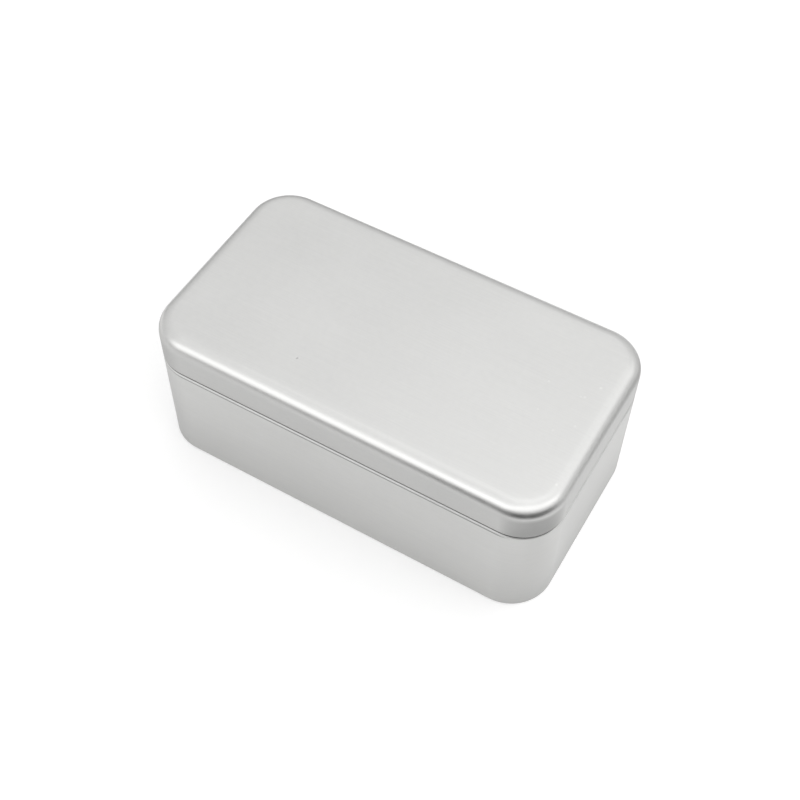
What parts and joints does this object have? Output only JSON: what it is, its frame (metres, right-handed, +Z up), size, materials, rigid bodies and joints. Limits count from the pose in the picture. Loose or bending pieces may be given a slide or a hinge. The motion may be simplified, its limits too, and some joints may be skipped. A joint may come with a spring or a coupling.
{
  "type": "card game tin with hinged lid",
  "caption": "Plain rectangular tinplate box with rounded corners and a skirted lid on rear hinges, for holding a card game's cards standing on edge.",
  "frame": {"origin": "centre of the bounding box, hinges counted in, on the surface that the tin stands on", "axes": "+X along the tin, to the right seen from the front; -Y to the front, +Y to the hinges; +Z up"},
  "size_m": [0.17, 0.0961, 0.0662],
  "materials": {
    "tinplate": "satin tinplate, bare",
    "hinge_steel": "plated sheet steel",
    "pin_steel": "drawn wire"
  },
  "bodies": {
    "base": {"body_wall": "tinplate", "bottom_panel": "tinplate", "hinge_body_leaf_left": "hinge_steel", "hinge_body_leaf_right": "hinge_steel", "hinge_pin_left": "pin_steel", "hinge_pin_right": "pin_steel"},
    "lid": {"lid_shell": "tinplate", "hinge_lid_leaf_left": "hinge_steel", "hinge_lid_leaf_right": "hinge_steel"}
  },
  "joints": [
    {"name": "lid_hinge", "type": "hinge", "parent": "base", "child": "lid", "pos_m": [0, 0.04665, 0.0493], "axis": [-1, 0, 0], "range_deg": [0, 190]}
  ]
}
